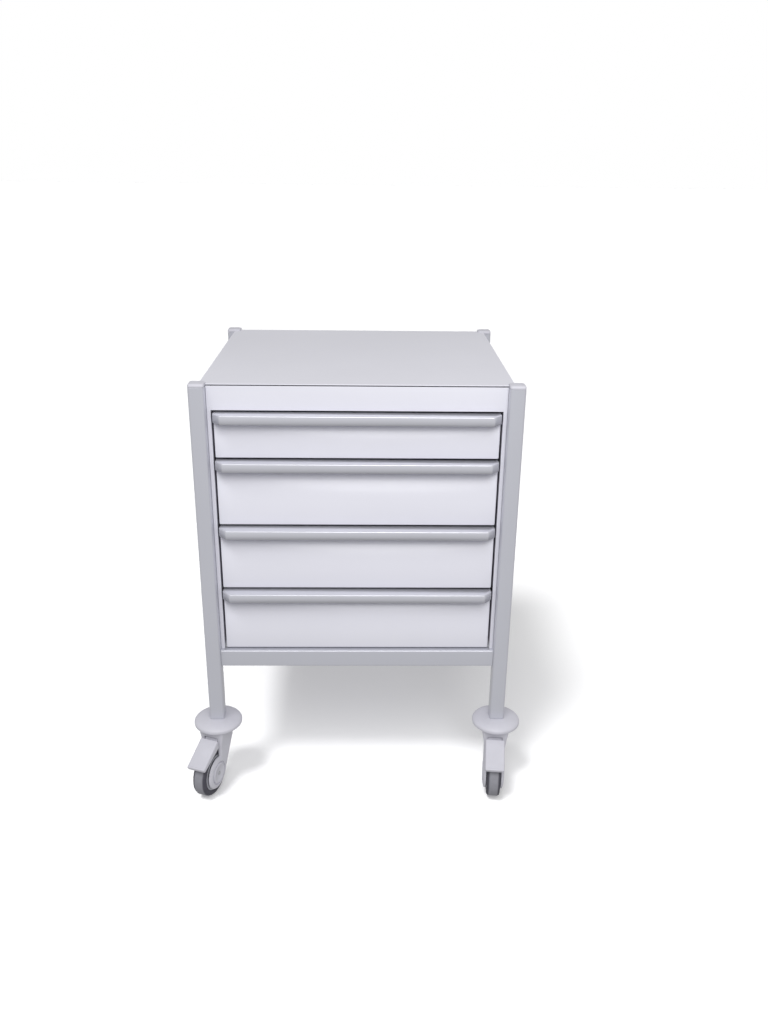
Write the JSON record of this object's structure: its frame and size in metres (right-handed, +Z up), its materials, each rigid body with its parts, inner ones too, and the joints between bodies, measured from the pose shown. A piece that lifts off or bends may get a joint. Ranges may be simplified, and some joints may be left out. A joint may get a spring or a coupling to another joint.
{
  "type": "bedside cabinet",
  "caption": "Mobile ward cabinet: worktop over full-width drawers in a post frame, on braked swivel casters with bumper discs.",
  "frame": {"origin": "on the floor under the middle of the four posts", "axes": "+Z up, drawers face -Y, +X to the right of a person facing the drawers"},
  "size_m": [0.6935, 0.7326, 0.878],
  "materials": {
    "panel": "off-white powder coat, semi-gloss with fine orange peel",
    "post": "light grey powder coat, satin",
    "plastic": "light grey moulded plastic with a fine texture",
    "rubber": "grey non-marking rubber, matt",
    "zinc": "zinc-plated steel, satin"
  },
  "bodies": {
    "frame": {"post_front_left": "post", "post_front_right": "post", "post_rear_left": "post", "post_rear_right": "post", "post_cap_front_left": "plastic", "post_cap_front_right": "plastic", "post_cap_rear_left": "plastic", "post_cap_rear_right": "plastic", "rail_front": "post", "rail_rear": "post", "rail_left": "post", "rail_right": "post", "worktop": "panel", "front_frame": "panel", "side_panel_left": "panel", "side_panel_right": "panel", "back_panel": "panel", "bottom_panel": "panel", "runner_1_left": "zinc", "runner_1_right": "zinc", "runner_2_left": "zinc", "runner_2_right": "zinc", "runner_3_left": "zinc", "runner_3_right": "zinc", "runner_4_left": "zinc", "runner_4_right": "zinc", "bumper_disc_front_left": "plastic", "bumper_disc_front_right": "plastic", "bumper_disc_rear_left": "plastic", "bumper_disc_rear_right": "plastic", "stem_front_left": "zinc", "stem_front_right": "zinc", "stem_rear_left": "zinc", "stem_rear_right": "zinc"},
    "drawer_1": {"drawer_1_front": "panel", "drawer_1_tray": "panel"},
    "drawer_2": {"drawer_2_front": "panel", "drawer_2_tray": "panel"},
    "drawer_3": {"drawer_3_front": "panel", "drawer_3_tray": "panel"},
    "drawer_4": {"drawer_4_front": "panel", "drawer_4_tray": "panel"},
    "caster_front_left": {"fork_front_left": "plastic", "axle_front_left": "zinc"},
    "caster_front_right": {"fork_front_right": "plastic", "axle_front_right": "zinc"},
    "caster_rear_left": {"fork_rear_left": "plastic", "axle_rear_left": "zinc"},
    "caster_rear_right": {"fork_rear_right": "plastic", "axle_rear_right": "zinc"},
    "wheel_front_left": {"wheel_core_front_left": "plastic", "tyre_front_left": "rubber"},
    "wheel_front_right": {"wheel_core_front_right": "plastic", "tyre_front_right": "rubber"},
    "wheel_rear_left": {"wheel_core_rear_left": "plastic", "tyre_rear_left": "rubber"},
    "wheel_rear_right": {"wheel_core_rear_right": "plastic", "tyre_rear_right": "rubber"},
    "brake_front_left": {"pedal_front_left": "plastic"},
    "brake_front_right": {"pedal_front_right": "plastic"}
  },
  "joints": [
    {"name": "drawer_1_slide", "type": "slide", "parent": "frame", "child": "drawer_1", "axis": [0, -1, 0], "range_m": [0, 0.36]},
    {"name": "drawer_2_slide", "type": "slide", "parent": "frame", "child": "drawer_2", "axis": [0, -1, 0], "range_m": [0, 0.36]},
    {"name": "drawer_3_slide", "type": "slide", "parent": "frame", "child": "drawer_3", "axis": [0, -1, 0], "range_m": [0, 0.36]},
    {"name": "drawer_4_slide", "type": "slide", "parent": "frame", "child": "drawer_4", "axis": [0, -1, 0], "range_m": [0, 0.36]},
    {"name": "swivel_front_left", "type": "hinge", "parent": "frame", "child": "caster_front_left", "pos_m": [-0.295, -0.265, 0.1345], "axis": [0, 0, 1], "continuous": true},
    {"name": "swivel_front_right", "type": "hinge", "parent": "frame", "child": "caster_front_right", "pos_m": [0.295, -0.265, 0.1345], "axis": [0, 0, 1], "continuous": true},
    {"name": "swivel_rear_left", "type": "hinge", "parent": "frame", "child": "caster_rear_left", "pos_m": [-0.295, 0.265, 0.1345], "axis": [0, 0, 1], "continuous": true},
    {"name": "swivel_rear_right", "type": "hinge", "parent": "frame", "child": "caster_rear_right", "pos_m": [0.295, 0.265, 0.1345], "axis": [0, 0, 1], "continuous": true},
    {"name": "roll_front_left", "type": "hinge", "parent": "caster_front_left", "child": "wheel_front_left", "pos_m": [-0.31142, -0.31011, 0.05], "axis": [0.9397, -0.342, 0], "continuous": true},
    {"name": "roll_front_right", "type": "hinge", "parent": "caster_front_right", "child": "wheel_front_right", "pos_m": [0.28957, -0.31269, 0.05], "axis": [0.9936, -0.1132, 0], "continuous": true},
    {"name": "roll_rear_left", "type": "hinge", "parent": "caster_rear_left", "child": "wheel_rear_left", "pos_m": [-0.28502, 0.31195, 0.05], "axis": [-0.9781, 0.2079, 0], "continuous": true},
    {"name": "roll_rear_right", "type": "hinge", "parent": "caster_rear_right", "child": "wheel_rear_right", "pos_m": [0.27548, 0.30885, 0.05], "axis": [-0.9135, -0.4067, 0], "continuous": true},
    {"name": "brake_pedal_front_left", "type": "hinge", "parent": "caster_front_left", "child": "brake_front_left", "pos_m": [-0.30492, -0.29225, 0.119], "axis": [0.9397, -0.342, 0], "range_deg": [0, 10]},
    {"name": "brake_pedal_front_right", "type": "hinge", "parent": "caster_front_right", "child": "brake_front_right", "pos_m": [0.29172, -0.29381, 0.119], "axis": [0.9936, -0.1132, 0], "range_deg": [0, 10]}
  ]
}
